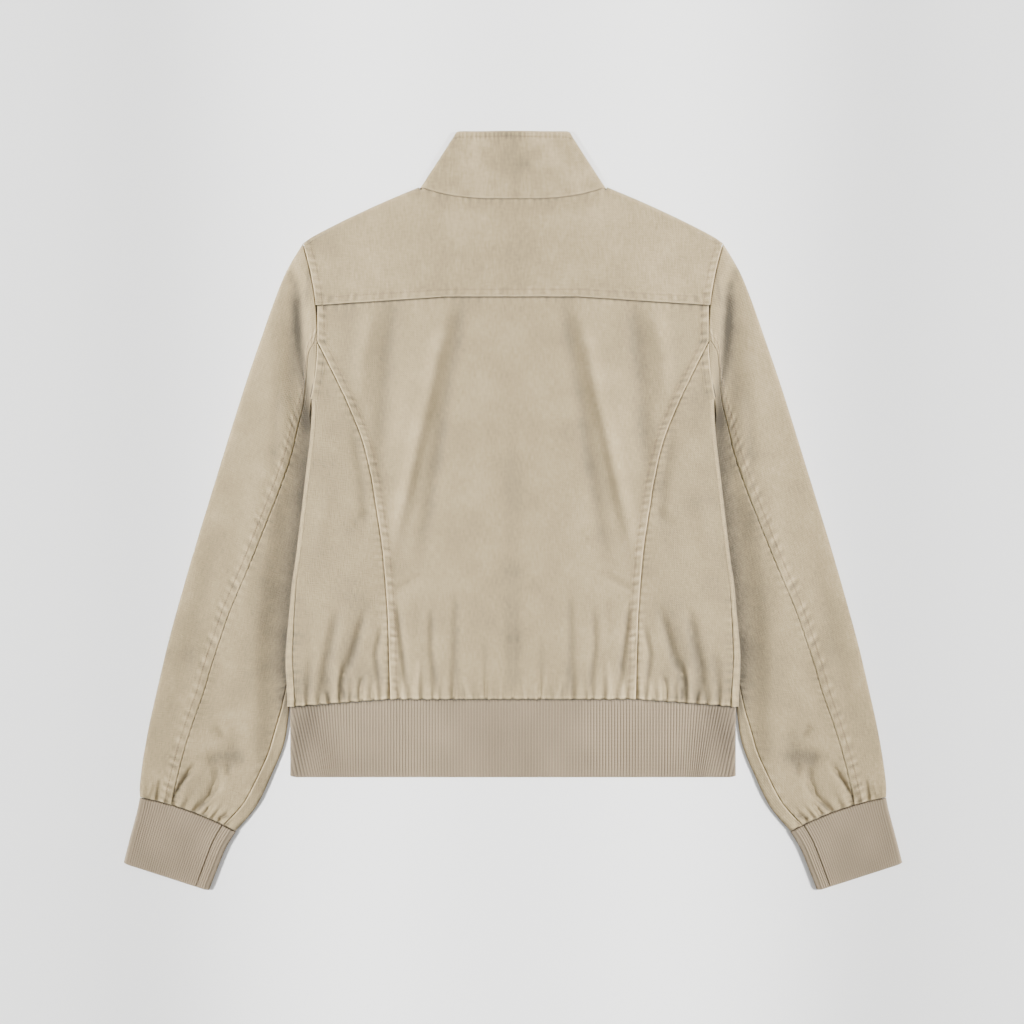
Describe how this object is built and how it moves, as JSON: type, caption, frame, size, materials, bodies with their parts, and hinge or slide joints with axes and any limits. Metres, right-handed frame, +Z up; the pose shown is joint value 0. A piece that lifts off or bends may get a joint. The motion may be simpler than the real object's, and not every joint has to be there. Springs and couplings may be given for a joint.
{
  "type": "utility jacket",
  "caption": "Cropped cotton jacket with a stand collar, a back yoke, princess seams and rib-knit hem and cuffs, zipped and laid flat on its front.",
  "frame": {"origin": "the middle of the jacket's outline, on the surface that it lies on", "axes": "+Y from the hem to the collar, +X to the wearer's right side, +Z up from the surface, out of the jacket's back"},
  "size_m": [0.7548, 0.7361, 0.0106],
  "materials": {
    "back_yoke": "garment-washed cotton twill",
    "back_centre": "garment-washed cotton twill",
    "back_side_left": "garment-washed cotton twill",
    "back_side_right": "garment-washed cotton twill",
    "front_left": "garment-washed cotton twill",
    "front_right": "garment-washed cotton twill",
    "sleeve_upper_left": "garment-washed cotton twill",
    "sleeve_upper_right": "garment-washed cotton twill",
    "sleeve_under_left": "garment-washed cotton twill",
    "sleeve_under_right": "garment-washed cotton twill",
    "collar": "garment-washed cotton twill, two layers",
    "hem_rib": "cotton rib knit",
    "cuff_left": "cotton rib knit",
    "cuff_right": "cotton rib knit",
    "zip_tape_left": "woven zip tape",
    "zip_tape_right": "woven zip tape",
    "zip_slider": "antiqued brass",
    "zip_pull": "antiqued brass"
  },
  "bodies": {
    "jacket": {"back_yoke": "back_yoke", "back_centre": "back_centre", "back_side_left": "back_side_left", "back_side_right": "back_side_right", "front_left": "front_left", "front_right": "front_right", "sleeve_upper_left": "sleeve_upper_left", "sleeve_upper_right": "sleeve_upper_right", "sleeve_under_left": "sleeve_under_left", "sleeve_under_right": "sleeve_under_right", "collar": "collar", "hem_rib": "hem_rib", "cuff_left": "cuff_left", "cuff_right": "cuff_right", "zip_tape_left": "zip_tape_left", "zip_tape_right": "zip_tape_right", "zip_slider": "zip_slider"},
    "pull": {"zip_pull": "zip_pull"}
  },
  "joints": [
    {"name": "pull_swing", "type": "hinge", "parent": "jacket", "child": "pull", "pos_m": [0, 0.352, 0.0014], "axis": [1, 0, 0], "range_deg": [0, 165]}
  ]
}
